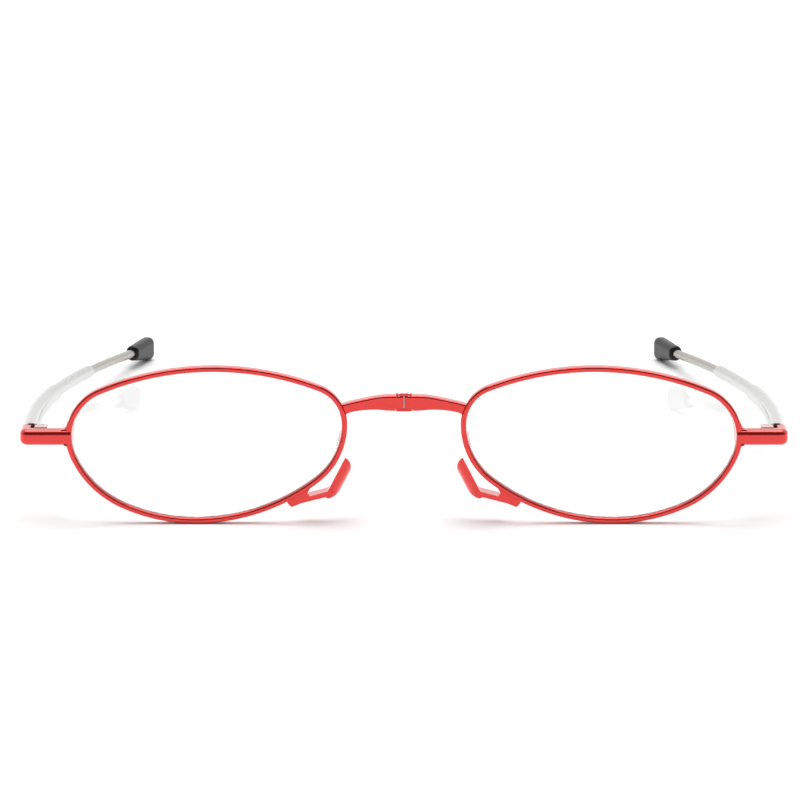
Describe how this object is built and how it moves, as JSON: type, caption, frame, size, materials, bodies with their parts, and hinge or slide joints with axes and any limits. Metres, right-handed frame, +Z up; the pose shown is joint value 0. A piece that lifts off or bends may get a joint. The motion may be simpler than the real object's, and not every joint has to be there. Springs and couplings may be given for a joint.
{
  "type": "folding reading glasses",
  "caption": "Oval metal reading glasses whose front folds at the bridge and whose temples fold and telescope.",
  "frame": {"origin": "on the table under the bridge's seam, in the plane of the rims", "axes": "+X across the front to the right, +Y from the front to the temple tips, +Z up"},
  "size_m": [0.129, 0.1175, 0.027],
  "materials": {
    "frame_red": "gloss red lacquer",
    "temple_steel": "polished",
    "rod_steel": "drawn",
    "screw_steel": "bright",
    "lens_clear": "clear",
    "bush_nylon": "natural",
    "tip_rubber": "satin"
  },
  "bodies": {
    "left_front": {"left_rim": "frame_red", "left_lens": "lens_clear", "left_rim_screw": "screw_steel", "left_end_piece": "frame_red", "left_hinge_screw": "screw_steel", "left_nose_piece": "frame_red", "left_bridge_half": "frame_red"},
    "bridge_link": {"upper_link": "frame_red", "lower_link": "frame_red", "left_bridge_pin": "screw_steel", "right_bridge_pin": "screw_steel"},
    "right_front": {"right_rim": "frame_red", "right_lens": "lens_clear", "right_rim_screw": "screw_steel", "right_end_piece": "frame_red", "right_hinge_screw": "screw_steel", "right_nose_piece": "frame_red", "right_bridge_half": "frame_red"},
    "left_temple": {"left_temple_fitting": "temple_steel", "left_outer_tube": "temple_steel"},
    "left_middle_stage": {"left_middle_tube": "temple_steel", "left_middle_bush": "bush_nylon"},
    "left_inner_stage": {"left_inner_rod": "rod_steel", "left_inner_bush": "bush_nylon", "left_temple_tip": "tip_rubber"},
    "right_temple": {"right_temple_fitting": "temple_steel", "right_outer_tube": "temple_steel"},
    "right_middle_stage": {"right_middle_tube": "temple_steel", "right_middle_bush": "bush_nylon"},
    "right_inner_stage": {"right_inner_rod": "rod_steel", "right_inner_bush": "bush_nylon", "right_temple_tip": "tip_rubber"}
  },
  "joints": [
    {"name": "bridge_fold_left", "type": "hinge", "parent": "left_front", "child": "bridge_link", "pos_m": [-0.00085, -0.00065, 0.0208], "axis": [0, 0, -1], "range_deg": [0, 90]},
    {"name": "bridge_fold_right", "type": "hinge", "parent": "bridge_link", "child": "right_front", "pos_m": [0.00085, -0.00065, 0.0208], "axis": [0, 0, -1], "range_deg": [0, 90]},
    {"name": "left_temple_fold", "type": "hinge", "parent": "left_front", "child": "left_temple", "pos_m": [-0.0606, 0.0036, 0.01485], "axis": [0, -0.1134, -0.9936], "range_deg": [0, 82]},
    {"name": "left_middle_telescope", "type": "hinge", "parent": "left_temple", "child": "left_middle_stage", "pos_m": [0.23095, 0.02348, 0.01258], "axis": [0, 0.1134, 0.9936], "range_deg": [0, 5.55]},
    {"name": "left_inner_telescope", "type": "hinge", "parent": "left_middle_stage", "child": "left_inner_stage", "pos_m": [0.23095, 0.02348, 0.01258], "axis": [0, 0.1134, 0.9936], "range_deg": [0, 5.22]},
    {"name": "right_temple_fold", "type": "hinge", "parent": "right_front", "child": "right_temple", "pos_m": [0.0606, 0.0036, 0.01485], "axis": [0, 0.1134, 0.9936], "range_deg": [0, 82]},
    {"name": "right_middle_telescope", "type": "hinge", "parent": "right_temple", "child": "right_middle_stage", "pos_m": [-0.23095, 0.02348, 0.01258], "axis": [0, -0.1134, -0.9936], "range_deg": [0, 5.55]},
    {"name": "right_inner_telescope", "type": "hinge", "parent": "right_middle_stage", "child": "right_inner_stage", "pos_m": [-0.23095, 0.02348, 0.01258], "axis": [0, -0.1134, -0.9936], "range_deg": [0, 5.22]}
  ]
}
